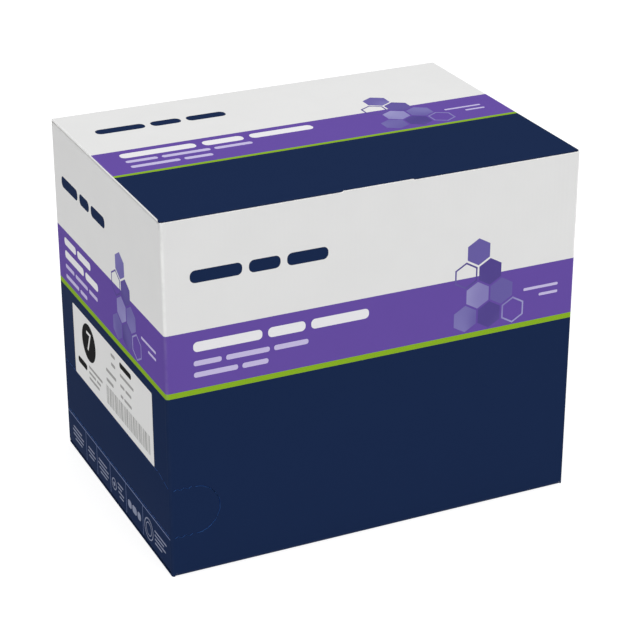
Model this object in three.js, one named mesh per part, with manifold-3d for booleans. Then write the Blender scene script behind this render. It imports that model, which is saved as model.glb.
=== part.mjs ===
// An exam glove carton: one die-cut blank of printed E-flute board, folded into a sleeve of four
// walls, glued shut at the bottom, and closed at the top by a hinged lid whose tuck flap hangs
// behind the front wall. Two dust flaps lie under the lid. The left end has a perforated tear-out
// that starts at a round finger tab on the front.
// Millimetres. +X runs right along the front, +Y to the back, +Z up, and the floor is z = 0 under
// the middle of the carton.
import * as THREE from 'three';
import { mergeVertices } from 'three/addons/utils/BufferGeometryUtils.js';
import Module from 'manifold-3d';

// Driving dimensions
const WIDTH = 295;
const DEPTH = 208;
const HEIGHT = 250;
const BOARD = 1.5;
const FOLD_INSIDE = 0.5;
const FOLD_FACES = 4;

// Clearances: along a crease shared by two pieces, between boards that lie on each other, between
// the tuck flap and the front wall that it slides past, and at each end of a side flap's crease
const CREASE_GAP = 0.3;
const LAYER_GAP = 0.3;
const SLIDE_GAP = 0.5;
const CREASE_END_GAP = 1;

// Glue lap inside the back wall
const LAP_REACH = 35;
const LAP_TRIM = 6;

// Lid, tuck flap, and the front wall's top edge with the tongue that stands up from it. The edge
// lies a little under the lid's top face.
const FRONT_DROP = 1;
const LID_INSET = 0.5;
const TUCK_REACH = 32;
const TUCK_CORNER = 12;
const TUCK_SIDE_GAP = 1;
const TUCK_LEAN = THREE.MathUtils.degToRad(8);
const TONGUE_WIDTH = 49;
const TONGUE_RISE = 0.7;
const TONGUE_SLANT = 1.2;

// Dust flaps: the front edge is cut back for the tuck flap, the back edge tapers for the lid
const DUST_REACH = 78;
const DUST_FRONT_CUT = 8;
const DUST_FRONT_STEP = 4;
const DUST_BACK_TAPER = 62;
const DUST_TIP_CORNER = 6;

// Bottom flaps: the outer ones reach almost to the side walls' faces, the inner ones slant
const SEAM_GAP = 1;
const BOTTOM_OUTER_INSET = 0.3;
const BOTTOM_REACH_SIDE = 102;
const BOTTOM_INNER_SLANT = 3;

// Tear-out in the left end, with its finger tab on the front
const TEAR_BOTTOM = 29.3;
const TEAR_TOP = 68.8;
const TEAR_SLOPE_RUN = 19;
const TAB_HEIGHT = 35;
const TAB_STRAIGHT = 17;
const SLIT = 0.4;
const DASH = 6;
const DASH_TIE = 2;
const ZIP_DASH = 2.4;
const ZIP_TIE = 0.6;
const ZIP_ANGLE = THREE.MathUtils.degToRad(32);
const TAB_ARC_CUTS = 3;
const TAB_ARC_TIE = 1.4;
const ARC_FACES = 8;

// Printed liner outside, plain liner inside: one board colour for each piece's largest area
const PRINT_NAVY = '#1a2948';
const PRINT_WHITE = '#e4e4e3';
const PLAIN_LINER = '#c9bfae';
const BOARD_ROUGHNESS = 0.5;

const wasm = await Module();
wasm.setup();

const FOLD = BOARD + FOLD_INSIDE;
const RIGHT = WIDTH / 2;
const BACK = DEPTH / 2;
const LAYER = BOARD + LAYER_GAP;
const QUARTER = Math.PI / 2;

// How far a piece that is joined runs into the other, and a cut runs past what it cuts
const OVERLAP = 1;
const PAST = 1;

// The crease centres: the middle of each fold's arcs
const LID_CREASE_Y = BACK - FOLD;
const LID_CREASE_Z = HEIGHT - FOLD;
const TUCK_CREASE_Y = -(BACK - BOARD - SLIDE_GAP - FOLD);
const SIDE_CREASE_X = RIGHT - FOLD;
const DUST_CREASE_Z = LID_CREASE_Z - LAYER;
const OUTER_BOTTOM_Z = FOLD;
const INNER_BOTTOM_Z = FOLD + LAYER;
const TUCK_HALF_WIDTH = RIGHT - BOARD - TUCK_SIDE_GAP;
const LID_HALF_WIDTH = RIGHT - LID_INSET;
const FRONT_TOP = HEIGHT - FRONT_DROP;
const OUTER_BOTTOM_LENGTH = 2 * (RIGHT - BOTTOM_OUTER_INSET);

// A closed mesh as a solid that can be joined and cut
function solid(geometry, matrix = new THREE.Matrix4()) {
  const bare = geometry.index ? geometry.toNonIndexed() : geometry.clone();
  bare.deleteAttribute('normal');
  bare.deleteAttribute('uv');
  const merged = mergeVertices(bare.applyMatrix4(matrix), 1e-5);
  return new wasm.Manifold(new wasm.Mesh({
    numProp: 3,
    vertProperties: new Float32Array(merged.attributes.position.array),
    triVerts: new Uint32Array(merged.index.array),
  }));
}

// A box given by its lowest and highest corners
function block(low, high) {
  const size = high.map((value, axis) => value - low[axis]);
  const middle = high.map((value, axis) => (value + low[axis]) / 2);
  const place = new THREE.Matrix4().makeTranslation(...middle);
  return solid(new THREE.BoxGeometry(...size), place);
}

// An outline extruded from 0 to depth along its own z, then placed by three axes and a start
function prism(shape, depth, xAxis, yAxis, start) {
  const geometry = new THREE.ExtrudeGeometry(shape, {
    depth, curveSegments: FOLD_FACES, bevelEnabled: false,
  });
  const zAxis = new THREE.Vector3().crossVectors(xAxis, yAxis);
  const place = new THREE.Matrix4().makeBasis(xAxis, yAxis, zAxis).setPosition(start);
  return solid(geometry, place);
}

function vector(x, y, z) {
  return new THREE.Vector3(x, y, z);
}

function outline(points) {
  return new THREE.Shape(points.map(([x, y]) => new THREE.Vector2(x, y)));
}

// Half of a fold and the board that runs on from it, seen along the crease. The fold's bisector
// is the shape's x axis. side is -1 for the half before the crease and 1 for the half after it.
function foldedBoard(turn, reach, side) {
  const half = turn / 2;
  const gapAngle = (radius) => Math.asin(CREASE_GAP / 2 / radius);
  const arc = (radius, from, to) => Array.from({ length: FOLD_FACES + 1 }, (_, step) => {
    const angle = side * (from + (to - from) * step / FOLD_FACES);
    return [radius * Math.cos(angle), radius * Math.sin(angle)];
  });
  const run = [-Math.sin(half) * reach, side * Math.cos(half) * reach];
  const outer = arc(FOLD, gapAngle(FOLD), half);
  const inner = arc(FOLD_INSIDE, half, gapAngle(FOLD_INSIDE));
  const end = [outer.at(-1), inner[0]].map(([x, y]) => [x + run[0], y + run[1]]);
  return outline([...outer, ...end, ...inner]);
}

// A folded board placed on a crease. out is the outward normal of the board before the crease,
// on is the way that this board runs into it, centre is the middle of the crease's length.
function crease({ centre, out, on, length, reach, side, turn = QUARTER }) {
  const half = turn / 2;
  const bisector = out.clone().multiplyScalar(Math.cos(half)).addScaledVector(on, Math.sin(half));
  const across = out.clone().multiplyScalar(-Math.sin(half)).addScaledVector(on, Math.cos(half));
  const along = new THREE.Vector3().crossVectors(bisector, across);
  const start = centre.clone().addScaledVector(along, -length / 2);
  return prism(foldedBoard(turn, reach, side), length, bisector, across, start);
}

const UP = vector(0, 0, 1);
const DOWN = vector(0, 0, -1);
const OUT = {
  front: vector(0, -1, 0),
  back: vector(0, 1, 0),
  left: vector(-1, 0, 0),
  right: vector(1, 0, 0),
};

// Where each wall ends and its flap begins. A flap that is longer than its crease names its own
// length.
const LAP_BACK = BACK - LAYER;
const SIDE_CREASE_LENGTH = 2 * (BACK - FOLD - CREASE_END_GAP);
const CREASES = {
  lid: {
    centre: vector(0, LID_CREASE_Y, LID_CREASE_Z),
    out: OUT.back, on: UP, length: 2 * LID_HALF_WIDTH,
  },
  tuck_flap: {
    centre: vector(0, TUCK_CREASE_Y, LID_CREASE_Z),
    out: UP, on: OUT.front, length: 2 * TUCK_HALF_WIDTH, turn: QUARTER + TUCK_LEAN,
  },
  dust_flap_left: {
    centre: vector(-SIDE_CREASE_X, 0, DUST_CREASE_Z),
    out: OUT.left, on: UP, length: SIDE_CREASE_LENGTH,
  },
  dust_flap_right: {
    centre: vector(SIDE_CREASE_X, (LAP_BACK - BACK) / 2, DUST_CREASE_Z),
    out: OUT.right, on: UP, length: SIDE_CREASE_LENGTH - LAYER,
  },
  bottom_flap_front: {
    centre: vector(0, -LID_CREASE_Y, OUTER_BOTTOM_Z),
    out: OUT.front, on: DOWN, length: 2 * SIDE_CREASE_X, flapLength: OUTER_BOTTOM_LENGTH,
  },
  bottom_flap_back: {
    centre: vector(0, LID_CREASE_Y, OUTER_BOTTOM_Z),
    out: OUT.back, on: DOWN, length: 2 * SIDE_CREASE_X, flapLength: OUTER_BOTTOM_LENGTH,
  },
  bottom_flap_left: {
    centre: vector(-SIDE_CREASE_X, 0, INNER_BOTTOM_Z),
    out: OUT.left, on: DOWN, length: SIDE_CREASE_LENGTH,
  },
  bottom_flap_right: {
    centre: vector(SIDE_CREASE_X, (LAP_BACK - BACK) / 2, INNER_BOTTOM_Z),
    out: OUT.right, on: DOWN, length: SIDE_CREASE_LENGTH - LAYER,
  },
};

// The sleeve's plan: a strip of board that starts at the back wall's raw edge in the back right
// corner, runs round three folds, and ends in the glue lap inside the back wall
function sleevePlan() {
  const plan = new THREE.Shape();
  const corner = (x, y, radius, from, turn) => {
    plan.absarc(x, y, radius, from, from + turn * QUARTER, turn < 0);
  };
  const x = SIDE_CREASE_X;
  const y = BACK - FOLD;
  const lapY = LAP_BACK - FOLD;
  plan.moveTo(RIGHT, BACK);
  corner(-x, y, FOLD, QUARTER, 1);
  corner(-x, -y, FOLD, 2 * QUARTER, 1);
  corner(x, -y, FOLD, 3 * QUARTER, 1);
  corner(x, lapY, FOLD, 0, 1);
  plan.lineTo(x - LAP_REACH, LAP_BACK);
  plan.lineTo(x - LAP_REACH, LAP_BACK - BOARD);
  corner(x, lapY, FOLD_INSIDE, QUARTER, -1);
  corner(x, -y, FOLD_INSIDE, 0, -1);
  corner(-x, -y, FOLD_INSIDE, 3 * QUARTER, -1);
  corner(-x, y, FOLD_INSIDE, 2 * QUARTER, -1);
  plan.lineTo(RIGHT, BACK - BOARD);
  return plan;
}

// The front wall's tongue, with slanted ends
function tongue() {
  const half = TONGUE_WIDTH / 2;
  const shape = outline([
    [-half - TONGUE_SLANT, -OVERLAP],
    [half + TONGUE_SLANT, -OVERLAP],
    [half + TONGUE_SLANT, 0],
    [half, TONGUE_RISE],
    [-half, TONGUE_RISE],
    [-half - TONGUE_SLANT, 0],
  ]);
  return prism(shape, BOARD, vector(1, 0, 0), UP, vector(0, -BACK + BOARD, FRONT_TOP));
}

// What is cut from the plan's full height so that each wall ends at its own creases, and the
// lap's ends slope away from its fold
function levelCuts() {
  const sideFront = -BACK + FOLD;
  const cuts = [];
  for (const [name, side] of [['left', -1], ['right', 1]]) {
    const backEnd = side < 0 ? BACK - FOLD : LAP_BACK - FOLD;
    const near = side * (SIDE_CREASE_X - PAST);
    const far = side * (RIGHT + PAST);
    const [low, high] = [Math.min(near, far), Math.max(near, far)];
    const bottom = CREASES[`bottom_flap_${name}`].centre.z;
    const top = CREASES[`dust_flap_${name}`].centre.z;
    cuts.push(block([low, sideFront, -PAST], [high, backEnd, bottom]));
    cuts.push(block([low, sideFront, top], [high, backEnd, HEIGHT + PAST]));
  }
  const [wide, deep, high] = [RIGHT + PAST, BACK + PAST, HEIGHT + PAST];
  cuts.push(block([-wide, -deep, -PAST], [wide, sideFront, OUTER_BOTTOM_Z]));
  cuts.push(block([-wide, BACK - FOLD, -PAST], [wide, deep, OUTER_BOTTOM_Z]));
  cuts.push(block([-wide, BACK - FOLD, LID_CREASE_Z], [wide, deep, high]));
  cuts.push(block([-wide, -deep, FRONT_TOP], [wide, sideFront, high]));
  const lapStart = SIDE_CREASE_X;
  const lapEnd = lapStart - LAP_REACH - PAST;
  for (const [level, way] of [[INNER_BOTTOM_Z, 1], [DUST_CREASE_Z, -1]]) {
    const slope = outline([
      [wide, level - way * HEIGHT],
      [lapEnd, level - way * HEIGHT],
      [lapEnd, level + way * LAP_TRIM],
      [lapStart, level],
      [wide, level],
    ]);
    const start = vector(0, LAP_BACK + LAYER_GAP / 2, 0);
    cuts.push(prism(slope, BOARD + FOLD + LAYER_GAP / 2, vector(1, 0, 0), UP, start));
  }
  return cuts;
}

// A slit through a wall: a thin bar across it, from one point to another on the wall's face.
// face turns along and up on the face into a place on the wall.
function slitBar(face, from, to) {
  const [a, b] = [new THREE.Vector2(...from), new THREE.Vector2(...to)];
  const length = a.distanceTo(b);
  const turn = Math.atan2(b.y - a.y, b.x - a.x);
  const middle = a.add(b).multiplyScalar(0.5);
  const place = new THREE.Matrix4().makeTranslation(middle.x, middle.y, 0);
  place.multiply(new THREE.Matrix4().makeRotationZ(turn));
  place.premultiply(face);
  return solid(new THREE.BoxGeometry(length, SLIT, 4 * BOARD), place);
}

// A dashed cut along a straight line, starting and ending with a whole dash
function dashedLine(face, from, to, dash, tie) {
  const [a, b] = [new THREE.Vector2(...from), new THREE.Vector2(...to)];
  const length = a.distanceTo(b);
  const count = Math.max(1, Math.floor((length + tie) / (dash + tie)));
  const pitch = (length + tie) / count;
  const way = b.clone().sub(a).normalize();
  return Array.from({ length: count }, (_, index) => {
    const start = a.clone().addScaledVector(way, index * pitch);
    const end = start.clone().addScaledVector(way, pitch - tie);
    return slitBar(face, start.toArray(), end.toArray());
  });
}

// A zipper perforation along x: short dashes that slant up and down by turns
function zipper(face, fromX, toX, y) {
  const step = ZIP_DASH * Math.cos(ZIP_ANGLE) + ZIP_TIE;
  const rise = ZIP_DASH * Math.sin(ZIP_ANGLE) / 2;
  const count = Math.floor((toX - fromX) / step);
  return Array.from({ length: count }, (_, index) => {
    const start = fromX + index * step;
    const way = index % 2 === 0 ? 1 : -1;
    return slitBar(face, [start, y - way * rise], [start + step - ZIP_TIE, y + way * rise]);
  });
}

// The finger tab's round end: cuts along a half circle, with small ties between them
function tabArc(face, x, y, radius) {
  const tie = TAB_ARC_TIE / radius;
  const span = Math.PI / TAB_ARC_CUTS;
  return Array.from({ length: TAB_ARC_CUTS }, (_, index) => {
    const from = -QUARTER + index * span + tie / 2;
    const to = -QUARTER + (index + 1) * span - tie / 2;
    const shape = new THREE.Shape();
    shape.absarc(x, y, radius + SLIT / 2, from, to, false);
    shape.absarc(x, y, radius - SLIT / 2, to, from, true);
    const geometry = new THREE.ExtrudeGeometry(shape, {
      depth: 4 * BOARD, curveSegments: ARC_FACES, bevelEnabled: false,
    });
    return solid(geometry.translate(0, 0, -2 * BOARD), face);
  });
}

// The perforations: the finger tab on the front, two lines across the left end, and the fold at
// the back left corner between them
function perforations() {
  const frontFace = new THREE.Matrix4()
    .makeBasis(vector(1, 0, 0), UP, OUT.front)
    .setPosition(-RIGHT, -BACK + BOARD / 2, 0);
  const leftFace = new THREE.Matrix4()
    .makeBasis(vector(0, 1, 0), UP, vector(1, 0, 0))
    .setPosition(-RIGHT + BOARD / 2, -BACK, 0);
  const tabTop = TEAR_BOTTOM + TAB_HEIGHT;
  const tabRadius = TAB_HEIGHT / 2;
  const sloped = [TEAR_SLOPE_RUN, TEAR_TOP];
  const backEnd = DEPTH - FOLD - DASH_TIE;
  const diagonal = vector(-1, 1, 0).normalize();
  const foldFace = new THREE.Matrix4()
    .makeBasis(UP, vector(1, 1, 0).normalize(), diagonal)
    .setPosition(-SIDE_CREASE_X, BACK - FOLD, 0)
    .multiply(new THREE.Matrix4().makeTranslation(0, 0, FOLD - BOARD / 2));
  return [
    ...zipper(frontFace, FOLD + ZIP_TIE, TAB_STRAIGHT, TEAR_BOTTOM),
    ...zipper(frontFace, FOLD + ZIP_TIE, TAB_STRAIGHT, tabTop),
    ...tabArc(frontFace, TAB_STRAIGHT, TEAR_BOTTOM + tabRadius, tabRadius),
    ...dashedLine(leftFace, [FOLD + ZIP_TIE, tabTop + ZIP_TIE], sloped, DASH, DASH_TIE),
    ...dashedLine(leftFace, [sloped[0] + DASH_TIE, TEAR_TOP], [backEnd, TEAR_TOP], DASH, DASH_TIE),
    ...dashedLine(leftFace, [FOLD + DASH_TIE, TEAR_BOTTOM], [backEnd, TEAR_BOTTOM], DASH, DASH_TIE),
    ...dashedLine(foldFace, [TEAR_BOTTOM + DASH_TIE, 0], [TEAR_TOP - DASH_TIE, 0], DASH, DASH_TIE),
  ];
}

// Four walls, the lap, the tongue, the walls' own halves of the folds, and the perforations
function sleeve() {
  const plan = sleevePlan();
  let walls = prism(plan, HEIGHT, vector(1, 0, 0), vector(0, 1, 0), vector(0, 0, 0));
  for (const cut of levelCuts()) walls = walls.subtract(cut);
  walls = walls.add(tongue());
  for (const [name, place] of Object.entries(CREASES)) {
    if (name === 'tuck_flap') continue;
    walls = walls.add(crease({ ...place, reach: OVERLAP, side: -1 }));
  }
  for (const slit of perforations()) walls = walls.subtract(slit);
  return walls;
}

// A flap: its half of the fold and its board, trimmed to an outline. The outline's x runs along
// the crease and its y from the crease's centre to the flap's free edge.
function flap(name, reach, points) {
  const place = CREASES[name];
  const turn = place.turn ?? QUARTER;
  const board = crease({ ...place, length: place.flapLength ?? place.length, reach, side: 1 });
  const face = place.out.clone().multiplyScalar(Math.cos(turn))
    .addScaledVector(place.on, Math.sin(turn));
  const inward = place.out.clone().multiplyScalar(-Math.sin(turn))
    .addScaledVector(place.on, Math.cos(turn));
  const along = new THREE.Vector3().crossVectors(inward, face);
  const start = place.centre.clone().addScaledVector(face, -2 * FOLD);
  return board.intersect(prism(outline(points), 4 * FOLD, along, inward, start));
}

// Points of a quarter round between two edges of an outline
function roundCorner(x, y, radius, from) {
  return Array.from({ length: ARC_FACES + 1 }, (_, step) => {
    const angle = from + QUARTER * step / ARC_FACES;
    return [x + radius * Math.cos(angle), y + radius * Math.sin(angle)];
  });
}

// Hangs behind the front wall, with two round corners at its free edge
function tuckFlap() {
  const side = TUCK_HALF_WIDTH;
  const corner = TUCK_CORNER;
  return flap('tuck_flap', TUCK_REACH, [
    [-side, -2 * FOLD],
    [side, -2 * FOLD],
    ...roundCorner(side - corner, TUCK_REACH - corner, corner, 0),
    ...roundCorner(-side + corner, TUCK_REACH - corner, corner, QUARTER),
  ]);
}

// Lies under the lid. way is 1 where the outline's x runs to the carton's back, else -1.
function dustFlap(name, way) {
  const half = CREASES[name].length / 2;
  const tip = DUST_REACH;
  const points = [
    [-half, -2 * FOLD],
    [half, -2 * FOLD],
    [half, 0],
    [half - DUST_BACK_TAPER, tip - DUST_TIP_CORNER],
    [half - DUST_BACK_TAPER - DUST_TIP_CORNER, tip],
    [-half + DUST_FRONT_CUT + DUST_TIP_CORNER, tip],
    [-half + DUST_FRONT_CUT, tip - DUST_TIP_CORNER],
    [-half + DUST_FRONT_CUT, DUST_FRONT_CUT],
    [-half + DUST_FRONT_STEP, 0],
    [-half, 0],
  ].map(([x, y]) => [way * x, y]);
  return flap(name, tip, way > 0 ? points : points.reverse());
}

// A bottom flap: past its crease it may be wider than the crease, and its ends may slant in
function bottomFlap(name, reach, slant) {
  const half = CREASES[name].length / 2;
  const end = (CREASES[name].flapLength ?? CREASES[name].length) / 2;
  const past = end > half ? [[end, 0]] : [];
  return flap(name, reach, [
    [-half, -2 * FOLD],
    [half, -2 * FOLD],
    [half, 0],
    ...past,
    [end - slant, reach],
    [-end + slant, reach],
    ...past.map(([x, y]) => [-x, y]),
    [-half, 0],
  ]);
}

// The top panel: the far half of its crease to the back wall, and the near half of its crease to
// the tuck flap, which is narrower, so that an ear closes each front corner
function lid() {
  const span = LID_CREASE_Y - TUCK_CREASE_Y;
  const back = crease({ ...CREASES.lid, reach: span, side: 1 });
  const front = crease({ ...CREASES.tuck_flap, reach: OVERLAP, side: -1 });
  const earFront = -(BACK - BOARD - SLIDE_GAP);
  const ears = [-1, 1].map((side) => {
    const [a, b] = [side * TUCK_HALF_WIDTH, side * LID_HALF_WIDTH];
    const low = [Math.min(a, b), earFront, HEIGHT - BOARD];
    return block(low, [Math.max(a, b), TUCK_CREASE_Y + OVERLAP, HEIGHT]);
  });
  return back.add(front).add(ears[0]).add(ears[1]);
}

function piece(name, body, color) {
  const cut = body.getMesh();
  const geometry = new THREE.BufferGeometry();
  geometry.setAttribute('position', new THREE.BufferAttribute(cut.vertProperties, 3));
  geometry.setIndex(new THREE.BufferAttribute(cut.triVerts, 1));
  geometry.computeVertexNormals();
  const material = new THREE.MeshStandardMaterial({
    color, roughness: BOARD_ROUGHNESS, metalness: 0,
  });
  const mesh = new THREE.Mesh(geometry, material);
  mesh.name = name;
  return mesh;
}

const OUTER_REACH = BACK - FOLD - SEAM_GAP / 2;
const INNER_REACH = BOTTOM_REACH_SIDE - FOLD;

const carton = new THREE.Group();
carton.add(
  piece('sleeve', sleeve(), PRINT_NAVY),
  ...['left', 'right'].map((side) => {
    const name = `bottom_flap_${side}`;
    return piece(name, bottomFlap(name, INNER_REACH, BOTTOM_INNER_SLANT), PLAIN_LINER);
  }),
  ...['front', 'back'].map((side) => {
    const name = `bottom_flap_${side}`;
    return piece(name, bottomFlap(name, OUTER_REACH, 0), PRINT_NAVY);
  }),
  piece('dust_flap_left', dustFlap('dust_flap_left', -1), PRINT_WHITE),
  piece('dust_flap_right', dustFlap('dust_flap_right', 1), PRINT_WHITE),
  piece('lid', lid(), PRINT_WHITE),
  piece('tuck_flap', tuckFlap(), PRINT_WHITE),
);

export default carton;
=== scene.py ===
import math

import bmesh
import bpy
from mathutils import Matrix, Vector


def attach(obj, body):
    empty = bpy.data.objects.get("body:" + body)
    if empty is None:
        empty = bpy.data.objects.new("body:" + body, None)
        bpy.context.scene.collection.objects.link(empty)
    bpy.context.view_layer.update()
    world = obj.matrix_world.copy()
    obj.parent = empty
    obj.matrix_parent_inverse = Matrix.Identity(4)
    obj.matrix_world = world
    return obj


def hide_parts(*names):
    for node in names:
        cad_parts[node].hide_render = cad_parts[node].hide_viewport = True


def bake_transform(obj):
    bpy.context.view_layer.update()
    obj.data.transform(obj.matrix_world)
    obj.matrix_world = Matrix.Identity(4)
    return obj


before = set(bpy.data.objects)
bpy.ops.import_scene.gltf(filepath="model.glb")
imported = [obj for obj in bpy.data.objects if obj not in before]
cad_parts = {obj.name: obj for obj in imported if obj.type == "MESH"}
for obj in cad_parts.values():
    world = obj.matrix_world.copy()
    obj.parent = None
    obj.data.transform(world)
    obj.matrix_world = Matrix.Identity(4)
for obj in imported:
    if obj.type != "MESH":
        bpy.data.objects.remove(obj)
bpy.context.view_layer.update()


# Sleeve, walls
# The carton's front, left, back and right walls: one sheet of white E-flute board, litho printed
# outside, bent round three upright folds. A fourth fold turns it inside the back wall, where its
# end is glued as a lap. The front wall's top edge has a low tongue that locks the lid.
RIGHT = 0.1475
BACK = 0.104
TOP = 0.250
FRONT_TOP = 0.249
BOARD = 0.0015
FOLD = 0.002
FOLD_FACES = 10
CREASE_LAND = 0.0015
CORNER_FOOT = 0.0003
LAYER = 0.0018
QUARTER = math.pi / 2

FOLD_X = RIGHT - FOLD
FOLD_Y = BACK - FOLD
LAP_Y = BACK - LAYER
LAP_FOLD_Y = LAP_Y - FOLD
LAP_REACH = 0.035
LAP_TRIM = 0.006
BACK_TOP = TOP - FOLD - CREASE_LAND
SIDE_TOP = TOP - FOLD - LAYER - CREASE_LAND
SIDE_BOTTOM = FOLD + LAYER
BAND_LEVELS = (0.12985, 0.13365, 0.17375)
TONGUE_HALF = 0.0245
TONGUE_SLANT = 0.0012
TONGUE_RISE = 0.0007
LINER = 0.00022
FLUTING = 0.00014
FLUTE_PITCH = 0.0033
FLUTE_FACES = 8
EDGE_DEPTH = 0.0006
HAIR = 0.00001

PAPER_WHITE = (0.700, 0.700, 0.697)
BAND_PURPLE = (0.122, 0.070, 0.325)
BAND_GREEN = (0.225, 0.390, 0.020)
BAND_NAVY = (0.0098, 0.0213, 0.0650)


def pick(piece, kind, test):
    """Opens a piece for editing, with the vertices, edges or faces picked that pass the test."""
    if bpy.context.mode != "OBJECT":
        bpy.ops.object.mode_set(mode="OBJECT")
    bpy.ops.object.select_all(action="DESELECT")
    piece.select_set(True)
    bpy.context.view_layer.objects.active = piece
    bpy.ops.object.mode_set(mode="EDIT")
    bpy.ops.mesh.select_mode(type=kind)
    bpy.ops.mesh.select_all(action="DESELECT")
    mesh = bmesh.from_edit_mesh(piece.data)
    for part in {"VERT": mesh.verts, "EDGE": mesh.edges, "FACE": mesh.faces}[kind]:
        points = [part.co] if kind == "VERT" else [corner.co for corner in part.verts]
        part.select_set(all(test(point) for point in points))
    mesh.select_flush_mode()
    bmesh.update_edit_mesh(piece.data)


def done():
    bpy.ops.object.mode_set(mode="OBJECT")


def shift(x, y, z):
    bpy.ops.transform.translate(value=(x, y, z))


def run_on(x, y, z):
    """Draws the picked edge of a sheet out in a straight line."""
    bpy.ops.mesh.extrude_edges_move(TRANSFORM_OT_translate={"value": (x, y, z)})


def bend(angle, centre, axis, faces=FOLD_FACES):
    """Draws the picked edge of a sheet round a fold. With no window, spin turns left-handed."""
    bpy.ops.mesh.spin(steps=faces, angle=-angle, center=centre, axis=axis)


def slice_through(piece, place, normal, test=lambda point: True):
    """Cuts a line through the faces that pass the test, where a plane crosses them."""
    pick(piece, "FACE", test)
    bpy.ops.mesh.bisect(plane_co=place, plane_no=normal, use_fill=False)
    done()


def flat_sheet(name, width, length, place, turn=(0, 0, 0)):
    """A flat sheet of that size round a place, facing up before it is turned."""
    bpy.ops.mesh.primitive_plane_add(size=1, location=place, rotation=turn)
    sheet = bpy.context.object
    sheet.name = sheet.data.name = name
    sheet.scale = (width, length, 1)
    bpy.ops.object.transform_apply(location=True, rotation=True, scale=True)
    return sheet


def make_board(piece, outside, inside, raw_edge):
    """Gives a sheet the board's thickness on its inner side. outside says which material each
    outer face wears, and the inner liner and the cut edges have their own."""
    outer = len(piece.data.polygons)
    for material in [*outside, inside, raw_edge]:
        piece.data.materials.append(material)
    shell = piece.modifiers.new("board", "SOLIDIFY")
    shell.thickness = BOARD
    shell.offset = -1
    shell.use_even_offset = True
    bpy.context.view_layer.objects.active = piece
    bpy.ops.object.modifier_apply(modifier="board")
    for face in piece.data.polygons:
        if face.index >= 2 * outer:
            face.material_index = len(outside) + 1
        elif face.index >= outer:
            face.material_index = len(outside)


def facing(origin, along, up, out):
    """A place that looks out from a face: where it starts, and its three ways."""
    turn = Matrix((along, up, out)).transposed().to_4x4()
    return Matrix.Translation(origin) @ turn


def open_edge(piece, out, test):
    """Opens a cut edge between its two liners, so that the board is seen to be hollow."""
    pick(piece, "FACE", test)
    bpy.ops.mesh.inset(thickness=LINER, depth=0, use_even_offset=True)
    inwards = -EDGE_DEPTH * Vector(out)
    bpy.ops.mesh.extrude_region_move(TRANSFORM_OT_translate={"value": inwards})
    done()


def fit_fluting(piece, start, end, out, paper):
    """Sets the wave of the fluting paper into a cut edge, along its middle line. One wave is
    drawn and repeated."""
    along = (Vector(end) - Vector(start)).normalized()
    length = (Vector(end) - Vector(start)).length
    step = FLUTE_PITCH / FLUTE_FACES
    swing = BOARD / 2 - LINER - FLUTING / 2
    middle = (step / 2, 0, -EDGE_DEPTH / 2 - FLUTING / 2)
    wave = flat_sheet("fluting", step, EDGE_DEPTH - FLUTING, middle, (QUARTER, 0, 0))
    heights = [
        swing * math.sin(2 * math.pi * part / FLUTE_FACES) for part in range(FLUTE_FACES + 1)
    ]
    pick(wave, "EDGE", lambda point: point.x > step - HAIR)
    shift(0, heights[1], 0)
    for before, after in zip(heights[1:], heights[2:]):
        run_on(step, after - before, 0)
    done()
    repeat = wave.modifiers.new("repeat", "ARRAY")
    repeat.count = math.ceil(length / FLUTE_PITCH)
    repeat.use_relative_offset = False
    repeat.use_constant_offset = True
    repeat.constant_offset_displace = (FLUTE_PITCH, 0, 0)
    repeat.use_merge_vertices = True
    repeat.merge_threshold = HAIR
    bpy.ops.object.modifier_apply(modifier="repeat")
    pick(wave, "FACE", lambda point: True)
    bpy.ops.mesh.bisect(plane_co=(length, 0, 0), plane_no=(1, 0, 0), clear_outer=True)
    done()
    sheet = wave.modifiers.new("sheet", "SOLIDIFY")
    sheet.thickness = FLUTING
    sheet.offset = 0
    bpy.ops.object.modifier_apply(modifier="sheet")
    wave.matrix_world = facing(start, along, Vector(out).cross(along), out)
    bpy.ops.object.transform_apply(location=True, rotation=True, scale=True)
    wave.data.materials.append(paper)
    bpy.ops.object.select_all(action="DESELECT")
    wave.select_set(True)
    piece.select_set(True)
    bpy.context.view_layer.objects.active = piece
    bpy.ops.object.join()


def smooth(piece, degrees=40):
    bpy.ops.object.select_all(action="DESELECT")
    piece.select_set(True)
    bpy.context.view_layer.objects.active = piece
    bpy.ops.object.shade_smooth_by_angle(angle=math.radians(degrees))


def add_node(material, kind, inputs, **settings):
    """Adds a shader node with its settings, and gives each input a value or a link."""
    tree = material.node_tree
    node = tree.nodes.new(kind)
    for name, value in settings.items():
        setattr(node, name, value)
    for name, value in inputs.items():
        if isinstance(value, bpy.types.NodeSocket):
            tree.links.new(value, node.inputs[name])
        else:
            node.inputs[name].default_value = value
    return node


def maths(material, operation, first, second=0.0):
    node = add_node(material, "ShaderNodeMath", {0: first, 1: second}, operation=operation)
    return node.outputs[0]


def between(material, value, low, high):
    """0 below low, 1 above high, and smooth between them."""
    return add_node(
        material, "ShaderNodeMapRange",
        {"Value": value, "From Min": low, "From Max": high},
        interpolation_type="SMOOTHSTEP",
    ).outputs["Result"]


def start_paper(name, roughness, shine):
    """A paper material with its shader, and the place on the piece along x, y and z."""
    material = bpy.data.materials.new(name)
    material.use_nodes = True
    shader = material.node_tree.nodes["Principled BSDF"]
    shader.inputs["Roughness"].default_value = roughness
    shader.inputs["Specular IOR Level"].default_value = shine
    place = add_node(material, "ShaderNodeTexCoord", {}).outputs["Object"]
    parts = add_node(material, "ShaderNodeSeparateXYZ", {"Vector": place}).outputs
    return material, shader, place, parts


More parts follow.
